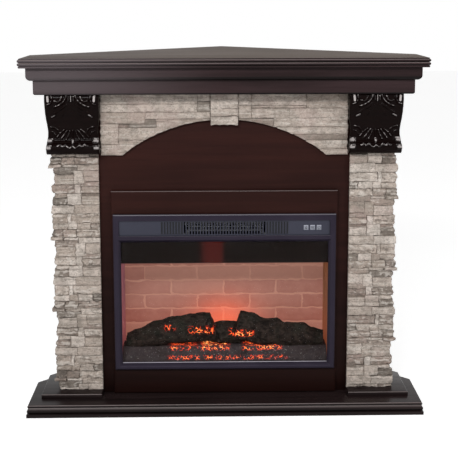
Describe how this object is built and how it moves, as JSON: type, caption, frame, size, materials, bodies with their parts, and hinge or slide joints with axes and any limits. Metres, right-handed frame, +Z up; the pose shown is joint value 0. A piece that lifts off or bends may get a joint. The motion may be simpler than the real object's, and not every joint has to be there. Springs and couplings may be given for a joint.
{
  "type": "corner fireplace",
  "caption": "Free-standing corner mantel in dark wood with cast stone columns, arched stone header and scroll corbels round an electric firebox insert with logs, blower and push buttons.",
  "frame": {"origin": "on the floor, under the middle of the plan's bounding box", "axes": "+X to the viewer's right, +Y from the front towards the room's corner, +Z up"},
  "size_m": [1.114, 0.739, 1],
  "materials": {
    "dark_wood": "satin dark espresso and mahogany lacquer on board",
    "bare_wood": "raw board",
    "cast_stone": "cast ledge stone, beige-grey with darker patches",
    "corbel_resin": "glossy near-black carved resin",
    "graphite_metal": "satin graphite paint",
    "black_steel": "black enamel on sheet steel",
    "galvanised": "zinc-plated sheet",
    "clear_glass": "clear tempered glass",
    "brick": "moulded terracotta brick faces with paler joints",
    "log_resin": "charred log casting",
    "ember_resin": "translucent ember casting under ash",
    "circuit_board": "printed circuit board with parts",
    "black_plastic": "black moulding",
    "button_plastic": "pale grey push button",
    "aluminium": "bright aluminium"
  },
  "bodies": {
    "fireplace": {"base_slab": "dark_wood", "shelf_top": "dark_wood", "cornice_moulding_front": "dark_wood", "cornice_moulding_left": "dark_wood", "cornice_moulding_right": "dark_wood", "frieze_board_front": "dark_wood", "frieze_board_left": "dark_wood", "frieze_board_right": "dark_wood", "frieze_soffit": "dark_wood", "plinth_block_left": "dark_wood", "plinth_block_right": "dark_wood", "column_carcass_left": "dark_wood", "column_carcass_right": "dark_wood", "fascia_panel": "dark_wood", "surround_panel": "dark_wood", "insert_deck": "bare_wood", "deck_cleat_left": "bare_wood", "deck_cleat_right": "bare_wood", "rear_rail_left": "bare_wood", "rear_rail_right": "bare_wood", "rear_post": "bare_wood", "column_stone_left": "cast_stone", "column_stone_right": "cast_stone", "header_stone_left": "cast_stone", "header_stone_right": "cast_stone", "keystone": "cast_stone", "corbel_left": "corbel_resin", "corbel_right": "corbel_resin", "insert_bezel": "graphite_metal", "outlet_grille": "graphite_metal", "firebox_casing": "black_steel", "rear_cover": "black_steel", "firebox_hood": "black_steel", "spindle_bracket": "galvanised", "spindle_motor": "galvanised", "blower_housing": "galvanised", "heating_element": "galvanised", "mounting_bracket_left": "galvanised", "mounting_bracket_right": "galvanised", "glass_pane": "clear_glass", "brick_screen": "brick", "brick_liner_left": "brick", "brick_liner_right": "brick", "log_left": "log_resin", "log_right": "log_resin", "log_middle": "log_resin", "ember_bed": "ember_resin", "button_board": "circuit_board", "ember_light_strip": "circuit_board", "control_board": "circuit_board", "cord_gland": "black_plastic", "blower_motor": "black_plastic"},
    "flame_button": {"flame_button": "button_plastic"},
    "heat_button": {"heat_button": "button_plastic"},
    "power_button": {"power_button": "button_plastic"},
    "spindle": {"flame_spindle": "aluminium"},
    "blower": {"blower_wheel": "aluminium"}
  },
  "joints": [
    {"name": "flame_button_press", "type": "slide", "parent": "fireplace", "child": "flame_button", "axis": [0, 1, 0], "range_m": [0, 0.0012], "stiffness_N_per_m": 400},
    {"name": "heat_button_press", "type": "slide", "parent": "fireplace", "child": "heat_button", "axis": [0, 1, 0], "range_m": [0, 0.0012], "stiffness_N_per_m": 400},
    {"name": "power_button_press", "type": "slide", "parent": "fireplace", "child": "power_button", "axis": [0, 1, 0], "range_m": [0, 0.0012], "stiffness_N_per_m": 400},
    {"name": "flame_spindle_spin", "type": "hinge", "parent": "fireplace", "child": "spindle", "pos_m": [0, -0.1641, 0.151], "axis": [1, 0, 0], "continuous": true},
    {"name": "blower_spin", "type": "hinge", "parent": "fireplace", "child": "blower", "pos_m": [0, -0.2051, 0.51825], "axis": [1, 0, 0], "continuous": true}
  ]
}
